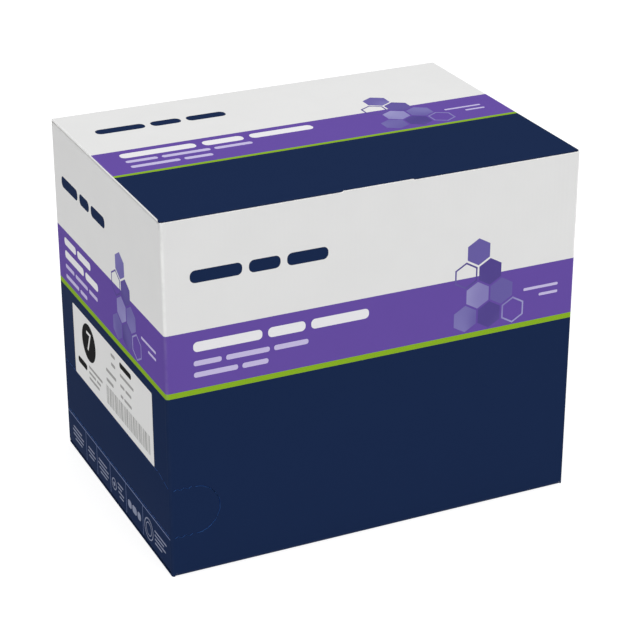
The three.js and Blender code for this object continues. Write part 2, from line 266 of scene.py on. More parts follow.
def flute_waves(material, parts, across):
    """The flutes that show faintly through the liner, as waves from -1 to 1."""
    total = None
    for axis in across:
        angle = maths(material, "MULTIPLY", parts[axis], 2 * math.pi / FLUTE_PITCH)
        wave = maths(material, "SINE", angle)
        total = wave if total is None else maths(material, "ADD", total, wave)
    return total


def fibres(material, place, scale, detail=3.0, stretch=(1, 1, 1)):
    mapped = add_node(material, "ShaderNodeMapping", {"Vector": place, "Scale": stretch})
    return add_node(
        material, "ShaderNodeTexNoise",
        {"Vector": mapped.outputs["Vector"], "Scale": scale, "Detail": detail},
    ).outputs["Fac"]


def two_tones(material, factor, first, second):
    mix = add_node(material, "ShaderNodeMix", {0: factor}, data_type="RGBA")
    for slot, colour in ((6, first), (7, second)):
        if isinstance(colour, bpy.types.NodeSocket):
            material.node_tree.links.new(colour, mix.inputs[slot])
        else:
            mix.inputs[slot].default_value = (*colour, 1)
    return mix.outputs[2]


def press_in(material, shader, heights):
    """Bumps the surface by the sum of some heights, each in millimetres."""
    total = None
    for height, size in heights:
        scaled = maths(material, "MULTIPLY", height, size)
        total = scaled if total is None else maths(material, "ADD", total, scaled)
    bump = add_node(material, "ShaderNodeBump", {"Height": total, "Distance": 0.001})
    material.node_tree.links.new(bump.outputs["Normal"], shader.inputs["Normal"])


def tinted(colour, share):
    return tuple(part * share for part in colour)


def printed_paper(name, colour, across, rub_and_highlight=None, rub_and_highlight_share=0.3):
    """Litho ink under a satin varnish: a faint mottle, fine fibre, and flutes that show through.
    The fold mask in the fourth argument gives, for each axis, how far out a fold starts where the
    ink is painted paler: partly rubbed wear, partly a painted highlight along the fold. The share
    after it sets how strongly."""
    material, shader, place, parts = start_paper(name, 0.46, 0.002)
    mottle = between(material, fibres(material, place, 38.0), 0.3, 0.7)
    ink = two_tones(material, mottle, tinted(colour, 0.993), tinted(colour, 1.007))
    grain = fibres(material, place, 1500.0)
    if rub_and_highlight:
        mask = None
        for axis, (low, high) in rub_and_highlight.items():
            out = between(material, maths(material, "ABSOLUTE", parts[axis]), low, high)
            mask = out if mask is None else maths(material, "MULTIPLY", mask, out)
        patches = between(material, fibres(material, place, 120.0, 4.0), 0.20, 0.70)
        patches = maths(material, "MULTIPLY", maths(material, "MULTIPLY", mask, patches), rub_and_highlight_share)
        # pale colour along the folds: partly rubbed wear, partly a painted highlight
        ink = two_tones(material, patches, ink, (0.90, 0.90, 0.89))
    material.node_tree.links.new(ink, shader.inputs["Base Color"])
    gloss = add_node(
        material, "ShaderNodeMapRange", {"Value": grain, "To Min": 0.43, "To Max": 0.50},
    )
    material.node_tree.links.new(gloss.outputs["Result"], shader.inputs["Roughness"])
    press_in(material, shader, [(flute_waves(material, parts, across), 0.004), (grain, 0.012)])
    return material


def plain_paper(name, colour, across):
    """Uncoated liner: matte, with long fibres, small flecks and flutes that show more."""
    material, shader, place, parts = start_paper(name, 0.85, 0.004)
    cloud = between(material, fibres(material, place, 55.0, 4.0), 0.3, 0.7)
    flecks = between(material, fibres(material, place, 900.0, 5.0, (1, 1, 0.35)), 0.62, 0.74)
    base = two_tones(material, cloud, tinted(colour, 0.985), tinted(colour, 1.012))
    ink = two_tones(material, maths(material, "MULTIPLY", flecks, 0.35), base, tinted(colour, 0.72))
    material.node_tree.links.new(ink, shader.inputs["Base Color"])
    grain = fibres(material, place, 1100.0, 4.0)
    press_in(material, shader, [(flute_waves(material, parts, across), 0.010), (grain, 0.03)])
    return material


def cut_paper(name, colour):
    """A cut edge of the board: torn fibre in fine layers."""
    material, shader, place, parts = start_paper(name, 0.9, 0.004)
    grain = fibres(material, place, 1900.0, 4.0)
    ink = two_tones(material, grain, tinted(colour, 0.86), tinted(colour, 1.08))
    material.node_tree.links.new(ink, shader.inputs["Base Color"])
    press_in(material, shader, [(grain, 0.05)])
    return material


# The upright folds are painted paler, most of all on the white: partly rubbed wear, partly a
# painted highlight where the rounded folds catch the light.
UPRIGHT_RUB_AND_HIGHLIGHT = {0: (0.1452, 0.1469), 1: (0.1017, 0.1034)}
wall_white = printed_paper("wall_white", PAPER_WHITE, (0, 1), UPRIGHT_RUB_AND_HIGHLIGHT, 0.80)
wall_purple = printed_paper("wall_purple", BAND_PURPLE, (0, 1), UPRIGHT_RUB_AND_HIGHLIGHT, 0.05)
wall_green = printed_paper("wall_green", BAND_GREEN, (0, 1), UPRIGHT_RUB_AND_HIGHLIGHT, 0.05)
wall_navy = printed_paper("wall_navy", BAND_NAVY, (0, 1), UPRIGHT_RUB_AND_HIGHLIGHT, 0.003)
inner_liner_walls = plain_paper("inner_liner_walls", (0.72, 0.70, 0.655), (0, 1))
board_edge = cut_paper("board_edge", (0.90, 0.90, 0.90))
fluting_paper = cut_paper("fluting_paper", (0.84, 0.83, 0.80))

sleeve = flat_sheet(
    "sleeve_board", 2 * FOLD_X, SIDE_TOP - SIDE_BOTTOM,
    (0, -BACK, (SIDE_TOP + SIDE_BOTTOM) / 2), (QUARTER, 0, 0),
)
pick(sleeve, "EDGE", lambda point: point.x > FOLD_X - HAIR)
bend(QUARTER, (FOLD_X, -FOLD_Y, 0), (0, 0, 1))
run_on(0, FOLD_Y + LAP_FOLD_Y, 0)
bend(QUARTER, (FOLD_X, LAP_FOLD_Y, 0), (0, 0, 1))
run_on(-LAP_REACH, 0, 0)
pick(sleeve, "EDGE", lambda point: point.x < HAIR - FOLD_X and point.y < -FOLD_Y)
bend(-QUARTER, (-FOLD_X, -FOLD_Y, 0), (0, 0, 1))
run_on(0, 2 * FOLD_Y, 0)
bend(-QUARTER, (-FOLD_X, FOLD_Y, 0), (0, 0, 1))
run_on(FOLD_X + RIGHT, 0, 0)
done()


def on_front(point):
    return point.y < HAIR - FOLD_Y


def on_back(point):
    return point.y > FOLD_Y - HAIR and (point.y > LAP_Y + HAIR or point.x < 0)


# the front and back walls reach higher and lower than the left and right ones
for belongs, top, bottom in ((on_front, FRONT_TOP, FOLD), (on_back, BACK_TOP, FOLD)):
    pick(sleeve, "EDGE", lambda point: belongs(point) and point.z > SIDE_TOP - HAIR)
    run_on(0, 0, top - SIDE_TOP)
    pick(sleeve, "EDGE", lambda point: belongs(point) and point.z < SIDE_BOTTOM + HAIR)
    run_on(0, 0, bottom - SIDE_BOTTOM)
# the rounded corners run on to the floor, past the folds of the bottom flaps
for side, wall in ((-1, on_front), (1, on_front), (-1, on_back)):
    pick(
        sleeve, "EDGE",
        lambda point: wall(point) and side * point.x > FOLD_X - HAIR and point.z < FOLD + HAIR,
    )
    run_on(0, 0, CORNER_FOOT - FOLD)
lap_end = FOLD_X - LAP_REACH + HAIR
for level, way in ((SIDE_TOP, -1), (SIDE_BOTTOM, 1)):
    pick(
        sleeve, "VERT",
        lambda point: point.x < lap_end and point.x > 0
        and abs(point.y - LAP_Y) < HAIR and abs(point.z - level) < HAIR,
    )
    shift(0, 0, way * LAP_TRIM)
# the tongue on the front wall's top edge
for x in (-TONGUE_HALF - TONGUE_SLANT, -TONGUE_HALF, TONGUE_HALF, TONGUE_HALF + TONGUE_SLANT):
    slice_through(
        sleeve, (x, 0, 0), (1, 0, 0),
        lambda point: on_front(point) and point.z > SIDE_TOP - HAIR,
    )
pick(
    sleeve, "VERT",
    lambda point: on_front(point) and point.z > FRONT_TOP - HAIR
    and abs(point.x) < TONGUE_HALF + HAIR,
)
shift(0, 0, TONGUE_RISE)
done()
for level in BAND_LEVELS:
    slice_through(sleeve, (0, 0, level), (0, 0, 1))

# a shallow score line runs down each wall beside its upright folds
SCORE_FROM_EDGE = 0.0033
SCORE_HALF = 0.0006
SCORE_DEPTH = 0.00011
for side in (-1, 1):
    for step in (-1, 0, 1):
        x = side * (RIGHT - SCORE_FROM_EDGE + step * SCORE_HALF)
        y = side * (BACK - SCORE_FROM_EDGE + step * SCORE_HALF)
        slice_through(sleeve, (x, 0, 0), (1, 0, 0), lambda point: abs(point.y) > LAP_Y + HAIR)
        slice_through(sleeve, (0, y, 0), (0, 1, 0), lambda point: abs(point.x) > RIGHT - HAIR)
for wall in (-1, 1):
    pick(
        sleeve, "VERT",
        lambda point: abs(point.y - wall * BACK) < HAIR
        and abs(abs(point.x) - RIGHT + SCORE_FROM_EDGE) < HAIR,
    )
    shift(0, -wall * SCORE_DEPTH, 0)
    pick(
        sleeve, "VERT",
        lambda point: abs(point.x - wall * RIGHT) < HAIR
        and abs(abs(point.y) - BACK + SCORE_FROM_EDGE) < HAIR,
    )
    shift(-wall * SCORE_DEPTH, 0, 0)
done()


def band_of(height):
    return sum(height < level for level in reversed(BAND_LEVELS))


for face in sleeve.data.polygons:
    face.material_index = band_of(face.center.z)
make_board(
    sleeve, [wall_white, wall_purple, wall_green, wall_navy], inner_liner_walls, board_edge,
)
open_edge(sleeve, (0, 0, 1), lambda point: on_front(point) and point.z > FRONT_TOP - HAIR)
open_edge(sleeve, (1, 0, 0), lambda point: point.x > RIGHT - HAIR and point.y > LAP_Y + HAIR)
middle_line = BOARD / 2 - BACK
for start, end, level in (
    (-FOLD_X, -TONGUE_HALF - TONGUE_SLANT, FRONT_TOP),
    (-TONGUE_HALF, TONGUE_HALF, FRONT_TOP + TONGUE_RISE),
    (TONGUE_HALF + TONGUE_SLANT, FOLD_X, FRONT_TOP),
):
    fit_fluting(
        sleeve, (start, middle_line, level), (end, middle_line, level), (0, 0, 1), fluting_paper,
    )
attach(sleeve, "carton")
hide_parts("sleeve")


# Sleeve, tear-out
# Perforations knifed through the board: a finger tab with a round end and two zipper lines on
# the front, dashed lines across the left wall and dashes down the fold at its back. The knife
# presses the printed liner into each cut, so its sides are stained blue; that blue is painted far
# brighter than the navy ink, a painted highlight that outweighs the shade inside each slit so the
# cuts read as pale lines.
SLIT = 0.0004
TEAR_BOTTOM = 0.0293
TEAR_TOP = 0.0688
TEAR_SLOPE_RUN = 0.019
TAB_HEIGHT = 0.035
TAB_TOP = TEAR_BOTTOM + TAB_HEIGHT
TAB_RADIUS = TAB_HEIGHT / 2
TAB_STRAIGHT = 0.017
TAB_ARC_CUTS = 3
TAB_ARC_TIE = 0.0014
ZIP_DASH = 0.0024
ZIP_TIE = 0.0006
ZIP_ANGLE = math.radians(32)
DASH = 0.006
DASH_TIE = 0.002
BLADE_DEPTH = 4 * BOARD
FOLD_SLIT_OUT = 0.0009

# slit sides: a real blue stain, painted much brighter than the navy as a painted highlight against
# the shade in the slits
knifed_edge_painted_bright = cut_paper("knifed_edge_painted_bright", (0.062, 0.185, 0.500))
sleeve.data.materials.append(knifed_edge_painted_bright)
knives = []


def blade(length, place, turn):
    bpy.ops.mesh.primitive_cube_add(size=1, location=place, rotation=turn)
    knife = bpy.context.object
    knife.scale = (length, BLADE_DEPTH, SLIT)
    bpy.ops.object.transform_apply(location=True, rotation=True, scale=True)
    knives.append(knife)


def slit_front(start, end):
    """A slit in the front wall between two points, each a distance from the left and a height."""
    run, rise = end[0] - start[0], end[1] - start[1]
    place = (-RIGHT + start[0] + run / 2, -BACK + BOARD / 2, start[1] + rise / 2)
    blade(math.hypot(run, rise), place, (0, -math.atan2(rise, run), 0))


def slit_left(start, end):
    """A slit in the left wall, with its distances from the front."""
    run, rise = end[0] - start[0], end[1] - start[1]
    place = (-RIGHT + BOARD / 2, -BACK + start[0] + run / 2, start[1] + rise / 2)
    blade(math.hypot(run, rise), place, (0, -math.atan2(rise, run), QUARTER))


def slit_back_fold(start, end):
    """A slit in the upright fold behind the left wall, between two heights."""
    place = (-FOLD_X - FOLD_SLIT_OUT, FOLD_Y + FOLD_SLIT_OUT, (start[0] + end[0]) / 2)
    blade(end[0] - start[0], place, (0, QUARTER, math.radians(45)))


def dashes(slit, start, end):
    """A line of equal dashes between two points, the first and the last at its ends."""
    run, rise = end[0] - start[0], end[1] - start[1]
    length = math.hypot(run, rise)
    count = int((length + DASH_TIE) / (DASH + DASH_TIE))
    pitch = (length + DASH_TIE) / count
    for number in range(count):
        near, far = number * pitch / length, ((number + 1) * pitch - DASH_TIE) / length
        slit(
            (start[0] + run * near, start[1] + rise * near),
            (start[0] + run * far, start[1] + rise * far),
        )


step = ZIP_DASH * math.cos(ZIP_ANGLE) + ZIP_TIE
rise = ZIP_DASH * math.sin(ZIP_ANGLE) / 2
zip_start = FOLD + ZIP_TIE
for level in (TEAR_BOTTOM, TAB_TOP):
    for number in range(int((TAB_STRAIGHT - zip_start) / step)):
        near = zip_start + number * step
        tilt = rise if number % 2 == 0 else -rise
        slit_front((near, level - tilt), (near + step - ZIP_TIE, level + tilt))
for number in range(TAB_ARC_CUTS):
    # one curved blade for each share of the half circle
    share = math.pi / TAB_ARC_CUTS
    tie = TAB_ARC_TIE / TAB_RADIUS
    start = -QUARTER + number * share + tie / 2
    centre = Vector((-RIGHT + TAB_STRAIGHT, -BACK + BOARD / 2, TEAR_BOTTOM + TAB_RADIUS))
    place = centre + TAB_RADIUS * Vector((math.cos(start), 0, math.sin(start)))
    knife = flat_sheet("round_blade", SLIT, BLADE_DEPTH, place, (0, -start, 0))
    pick(knife, "FACE", lambda point: True)
    bend(-(share - tie), centre, (0, 1, 0), 8)
    bpy.ops.mesh.select_all(action="SELECT")
    bpy.ops.mesh.normals_make_consistent(inside=False)
    done()
    knives.append(knife)
slope_end = (TEAR_SLOPE_RUN, TEAR_TOP)
back_end = 2 * BACK - FOLD - DASH_TIE
dashes(slit_left, (zip_start, TAB_TOP + ZIP_TIE), slope_end)
dashes(slit_left, (slope_end[0] + DASH_TIE, TEAR_TOP), (back_end, TEAR_TOP))
dashes(slit_left, (FOLD + DASH_TIE, TEAR_BOTTOM), (back_end, TEAR_BOTTOM))
dashes(slit_back_fold, (TEAR_BOTTOM + DASH_TIE, 0), (TEAR_TOP - DASH_TIE, 0))

bpy.ops.object.select_all(action="DESELECT")
for knife in knives:
    for material in sleeve.data.materials:
        knife.data.materials.append(material)
    for face in knife.data.polygons:
        face.material_index = len(sleeve.data.materials) - 1
    knife.select_set(True)
bpy.context.view_layer.objects.active = knives[0]
bpy.ops.object.join()
knife = bpy.context.object
bpy.context.view_layer.objects.active = sleeve
cut = sleeve.modifiers.new("perforations", "BOOLEAN")
cut.operation = "DIFFERENCE"
cut.solver = "EXACT"
cut.object = knife
bpy.ops.object.modifier_apply(modifier="perforations")
bpy.data.objects.remove(knife)
smooth(sleeve)


# Print on the front wall
# Ink laid on the white liner, or left out of the purple band so that the paper shows: plain bars
# for the lines of words, and a group of six-sided cells at the right. Films 0.03 mm proud.
MM = 0.001
INK = 0.03
INK_DEPTH = 0.05
DISC_FACES = 72
CELL_PITCH = 18.0
CELL_RADIUS = 9.6


def add_ink(marks, material):
    mark = bpy.context.object
    mark.data.materials.append(material)
    marks.append(mark)


def ink_bar(marks, material, left, right, low, high, corner=0.0, layer=0):
    """A bar of ink, in millimetres on the wall, with its corners rounded."""
    middle = ((left + right) / 2, (low + high) / 2, INK * (layer + 1))
    bar = flat_sheet("ink", right - left, high - low, middle)
    if corner:
        pick(bar, "VERT", lambda point: True)
        bpy.ops.mesh.bevel(offset=corner, segments=5, affect="VERTICES")
        done()
    add_ink(marks, material)


def ink_words(marks, material, words, low, high, layer=0):
    """A line of plain bars, each with round ends, in the place of words."""
    for left, right in words:
        ink_bar(marks, material, left, right, low, high, 0.42 * (high - low), layer)


def ink_disc(marks, material, x, y, radius, layer=0):
    bpy.ops.mesh.primitive_circle_add(
        vertices=DISC_FACES, radius=radius, fill_type="NGON", location=(x, y, INK * (layer + 1)),
    )
    bpy.ops.object.transform_apply(location=True, rotation=True, scale=True)
    add_ink(marks, material)


def ink_cell(marks, material, x, y, line=0.0, layer=0):
    """A six-sided cell, filled, or only outlined where it has a line."""
    bpy.ops.mesh.primitive_circle_add(
        vertices=6, radius=CELL_RADIUS, fill_type="NOTHING" if line else "NGON",
        location=(x, y, INK * (layer + 1)),
    )
    bpy.ops.object.transform_apply(location=True, rotation=True, scale=True)
    if line:
        close_ring(x, y, 1 - line / CELL_RADIUS)
    add_ink(marks, material)


def close_ring(x, y, share):
    """Makes the active outline a flat band, from itself to a smaller one."""
    ring = bpy.context.object
    pick(ring, "EDGE", lambda point: True)
    bpy.ops.mesh.extrude_edges_move()
    bpy.ops.transform.resize(value=(share, share, 1), center_override=(x, y, 0))
    done()
    if ring.data.polygons[0].normal.z < 0:
        ring.data.flip_normals()


def ink_ring(marks, material, x, y, radius, line, layer=0):
    bpy.ops.mesh.primitive_circle_add(
        vertices=DISC_FACES, radius=radius, location=(x, y, INK * (layer + 1)),
    )
    bpy.ops.object.transform_apply(location=True, rotation=True, scale=True)
    close_ring(x, y, 1 - line / radius)
    add_ink(marks, material)


def lay_print(name, marks, wall, body):
    """Joins the marks to one film, puts it on its wall and lets it move with the body."""
    bpy.ops.object.select_all(action="DESELECT")
    for mark in marks:
        mark.select_set(True)
    bpy.context.view_layer.objects.active = marks[0]
    bpy.ops.object.join()
    film = bpy.context.object
    film.name = film.data.name = name
    shell = film.modifiers.new("film", "SOLIDIFY")
    shell.thickness = INK_DEPTH
    shell.offset = -1
    bpy.ops.object.modifier_apply(modifier="film")
    film.matrix_world = wall @ Matrix.Scale(MM, 4)
    bpy.ops.object.transform_apply(location=True, rotation=True, scale=True)
    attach(film, body)


def ink_cells(marks, x, y):
    """The group of cells: rows that stand on each other like a comb, from the lowest at x, y."""
    for column, row, material, line in (
        (0, 0, cell_mid, 0), (1, 0, cell_deep, 0), (2, 0, cell_pale, 1.3),
        (0.5, 1, cell_pale, 0), (1.5, 1, cell_mid, 0),
        (0, 2, cell_deep, 1.3), (1, 2, cell_deep, 0),
        (0.5, 3, cell_mid, 0),
    ):
        ink_cell(marks, material, x + column * CELL_PITCH, y + row * CELL_PITCH * 0.866, line)


def shaded_ink(name, light, dark):
    """Ink whose tint runs softly between two shades, as in a printed picture."""
    material, shader, place, parts = start_paper(name, 0.46, 0.002)
    cloud = between(material, fibres(material, place, 26.0, 1.0), 0.35, 0.65)
    ink = two_tones(material, cloud, light, dark)
    material.node_tree.links.new(ink, shader.inputs["Base Color"])
    grain = fibres(material, place, 1500.0)
    press_in(material, shader, [(grain, 0.012)])
    return material


ink_navy = printed_paper("ink_navy", BAND_NAVY, (0, 1))
ink_paper = printed_paper("ink_paper", (0.735, 0.730, 0.755), (0, 1))
ink_lilac = printed_paper("ink_lilac", (0.505, 0.455, 0.680), (0, 1))
cell_pale = shaded_ink("cell_pale", (0.300, 0.285, 0.520), (0.215, 0.190, 0.430))
cell_mid = shaded_ink("cell_mid", (0.190, 0.170, 0.410), (0.130, 0.105, 0.330))
cell_deep = shaded_ink("cell_deep", (0.120, 0.095, 0.310), (0.082, 0.058, 0.240))

FRONT_WALL = facing((-RIGHT, -BACK, 0), (1, 0, 0), (0, 0, 1), (0, -1, 0))
marks = []
ink_words(marks, ink_navy, [(18, 53), (57.5, 79), (83.5, 112)], 206.3, 214.8)
ink_words(marks, ink_paper, [(19, 66), (70, 96), (100, 141)], 159.3, 166.2)
ink_words(marks, ink_lilac, [(19, 38), (41, 71), (74, 98)], 149.6, 153.2)
ink_words(marks, ink_lilac, [(19, 49), (52, 70)], 141.6, 145.2)
ink_words(marks, ink_lilac, [(256, 282.5)], 156.3, 158.3)
ink_words(marks, ink_lilac, [(268, 282.5)], 150.7, 152.7)
ink_cells(marks, 212, 144.4)
lay_print("front_print", marks, FRONT_WALL, "carton")


# Print on the left wall
# The same bars and cells, drawn narrower for the shorter wall. Below the bands is a white panel,
# the bare paper, with a black disc and a plain number, plain bars and small lines; along the
# foot runs a ruled strip of six cells that hold small lines and rings.
LEFT_WALL = facing((-RIGHT, BACK, 0), (0, -1, 0), (0, 0, 1), (-1, 0, 0))
PANEL = (26.2, 181.4, 69.0, 122.6)
CELL_LINES = (40.6, 63.6, 91.0, 122.6, 155.0)
STRIP_TOP = 27.4

ink_black = printed_paper("ink_black", (0.012, 0.012, 0.013), (0, 1))
ink_grey = printed_paper("ink_grey", (0.330, 0.330, 0.325), (0, 1))
ink_steel = printed_paper("ink_steel", (0.230, 0.255, 0.355), (0, 1))
ink_rule = printed_paper("ink_rule", (0.150, 0.190, 0.340), (0, 1))
panel_paper = printed_paper("panel_paper", PAPER_WHITE, (0, 1))

marks = []
ink_words(marks, ink_navy, [(17, 50), (54, 73), (77, 104)], 206.4, 214.4)
ink_words(marks, ink_paper, [(16, 40), (43, 70)], 163.0, 168.6)
ink_words(marks, ink_paper, [(16, 55), (58.5, 84)], 153.2, 158.8)
ink_words(marks, ink_lilac, [(16, 34), (37, 62), (65, 82)], 145.4, 148.3)
ink_words(marks, ink_lilac, [(16, 43), (46, 60)], 137.6, 140.5)
ink_words(marks, ink_lilac, [(166, 192)], 154.8, 156.6)
ink_words(marks, ink_lilac, [(178, 192)], 149.8, 151.6)
ink_cells(marks, 121, 144.4)
ink_bar(marks, panel_paper, *PANEL, 1.2)
ink_disc(marks, ink_black, 58.2, 104.6, 14.0, 1)
bpy.ops.object.text_add(location=(58.2, 104.6, 3 * INK))
number = bpy.context.object
number.data.body = "7"
number.data.size = 21
number.data.align_x = "CENTER"
number.data.align_y = "CENTER"
bpy.ops.object.convert(target="MESH")
bpy.ops.object.transform_apply(location=True, rotation=True, scale=True)
add_ink(marks, panel_paper)
ink_words(marks, ink_black, [(33.5, 52)], 80.2, 85.0, 1)
for row, words in enumerate(([(56, 84)], [(56, 70), (72, 80)], [(56, 77)])):
    ink_words(marks, ink_grey, words, 84.9 - 4.4 * row, 86.9 - 4.4 * row, 1)
for low, words in (
    (115.2, [(104, 112)]), (108.2, [(104, 112)]), (99.4, [(93, 113)]), (92.0, [(93, 107)]),
):
    ink_words(marks, ink_grey, words, low, low + 2.4, 1)
ink_words(marks, ink_black, [(121, 143)], 114.2, 118.4, 1)
for low, words in (
    (107.6, [(121, 147)]), (99.8, [(121, 129), (131, 142)]), (92.0, [(121, 126), (128, 142)]),
):
    ink_words(marks, ink_grey, words, low, low + 2.2, 1)
# upright stripes of three widths in a plain repeat, which no reader can read
place = 92.0
for number in range(37):
    width = (0.7, 1.3, 0.7, 1.9, 1.0)[number % 5]
    ink_bar(marks, ink_grey, place, place + width, 74.4, 88.4, 0, 1)
    place += width + (1.1, 0.8, 1.7, 1.0)[number % 4]
ink_bar(marks, ink_rule, 2.0, 206.0, STRIP_TOP - 0.4, STRIP_TOP + 0.4)
for u in CELL_LINES:
    ink_bar(marks, ink_rule, u - 0.25, u + 0.25, 4.0, STRIP_TOP - 0.4)
for words_of_rows in (
    [(13, 31), (11, 35), (12, 34), (16, 31)],
    [(45, 58), (44, 60), (46, 57)],
    [(67, 84), (66, 87), (68, 87), (70, 84)],
    [(106, 117), (106, 114), (107, 118), (109, 117)],
    [(177, 199), (177, 194), (177, 197), (177, 190)],
):
    rows = len(words_of_rows)
    for row, words in enumerate(words_of_rows):
        low = 13.6 + 3.1 * ((rows - 1) / 2 - row)
        ink_words(marks, ink_steel, [words], low, low + 1.25)
ink_ring(marks, ink_steel, 98.6, 14.2, 4.6, 0.9)
ink_disc(marks, ink_steel, 98.6, 14.2, 1.7)
ink_ring(marks, ink_steel, 166.0, 14.2, 8.2, 0.9)
ink_ring(marks, ink_steel, 166.0, 14.2, 5.2, 0.7)
ink_words(marks, ink_steel, [(126, 133), (134.5, 143), (144.5, 151)], 11.2, 17.2)
lay_print("left_wall_print", marks, LEFT_WALL, "carton")


# Bottom flaps
# Two inner flaps run on from the left and right walls, and two printed outer flaps from the
# front and back walls are glued under them and meet at a seam. All are the sleeve's own board. The
# navy print covers the outer flaps' undersides, and at their ends, where the side walls' feet show
# them, their upper liner and cut edges are painted navy too: painted shade for the dark under the
# side walls' folds.
SEAM_HALF = 0.0005
OUTER_FLAP_HALF = RIGHT - 0.0003
END_SLANT = 0.003
INNER_REACH = 0.100
SIDE_CREASE_HALF = 0.101

floor_navy = printed_paper("floor_navy", BAND_NAVY, (0,), {1: (0.1020, 0.1035)}, 0.015)
flap_white_across = plain_paper("flap_white_across", (0.74, 0.735, 0.72), (1,))
inner_liner_across = plain_paper("inner_liner_across", (0.72, 0.70, 0.655), (1,))
inner_liner_along = plain_paper("inner_liner_along", (0.72, 0.70, 0.655), (0,))

# navy for the outer flaps' end strips: painted shade where they lie under the side walls' folds
navy_painted_shade_edge = cut_paper("navy_painted_shade_edge", BAND_NAVY)

for way, name in ((-1, "front"), (1, "back")):
    reach = FOLD_Y - SEAM_HALF
    flap = flat_sheet(
        f"bottom_flap_{name}_board", 2 * OUTER_FLAP_HALF, reach,
        (0, way * (SEAM_HALF + reach / 2), 0), (math.pi, 0, 0),
    )
    for side in (-1, 1):
        slice_through(flap, (side * FOLD_X, 0, 0), (1, 0, 0))
    pick(flap, "EDGE", lambda point: abs(point.y) > FOLD_Y - HAIR and abs(point.x) < FOLD_X + HAIR)
    bend(way * QUARTER, (0, way * FOLD_Y, FOLD), (1, 0, 0))
    done()
    make_board(flap, [floor_navy, navy_painted_shade_edge], inner_liner_along, board_edge)
    # the ends' upper liner and cut edges take the navy: painted shade under the side walls' folds
    for face in flap.data.polygons:
        if abs(face.center.x) > FOLD_X and face.center.z > HAIR:
            face.material_index = 1
    smooth(flap)
    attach(flap, "carton")
    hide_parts(f"bottom_flap_{name}")

for way, name in ((-1, "left"), (1, "right")):
    front_end = FOLD_Y - 0.0001
    back_end = front_end if way < 0 else front_end - LAYER
    length = front_end + back_end
    middle = (back_end - front_end) / 2
    flap = flat_sheet(
        f"bottom_flap_{name}_board", INNER_REACH, length,
        (way * (FOLD_X - INNER_REACH / 2), middle, LAYER), (math.pi, 0, 0),
    )
    pick(flap, "VERT", lambda point: abs(point.x) < FOLD_X - INNER_REACH + HAIR)
    bpy.ops.transform.resize(
        value=(1, (length / 2 - END_SLANT) / (length / 2), 1), center_override=(0, middle, 0),
    )
    pick(flap, "EDGE", lambda point: abs(point.x) > FOLD_X - HAIR)
    bend(-way * QUARTER, (way * FOLD_X, 0, SIDE_BOTTOM), (0, 1, 0))
    done()
    for face in flap.data.polygons:
        face.material_index = int(abs(face.center.x) > FOLD_X)
    make_board(flap, [flap_white_across, wall_navy], inner_liner_across, board_edge)
    tip = FOLD_X - INNER_REACH
    open_edge(flap, (-way, 0, 0), lambda point: abs(point.x) < tip + HAIR)
    fit_fluting(
        flap, (way * tip, middle - length / 2 + END_SLANT, LAYER + BOARD / 2),
        (way * tip, middle + length / 2 - END_SLANT, LAYER + BOARD / 2), (-way, 0, 0),
        fluting_paper,
    )
    smooth(flap)
    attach(flap, "carton")
    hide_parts(f"bottom_flap_{name}")


# Dust flaps
# Top side flaps that lie under the lid: the left and right walls' own board, white outside,
# with the front edge cut back for the tuck flap and the back edge tapered. Each fold is soft.
DUST_REACH = 0.078
DUST_TOP = TOP - LAYER
DUST_FOLD_Z = DUST_TOP - FOLD
DUST_STEP = 0.004
DUST_FRONT_CUT = 0.008
DUST_TAPER = 0.062 / 0.072
DUST_TIP_CORNER = 0.006

flap_print_across = printed_paper("flap_print_across", PAPER_WHITE, (1,))

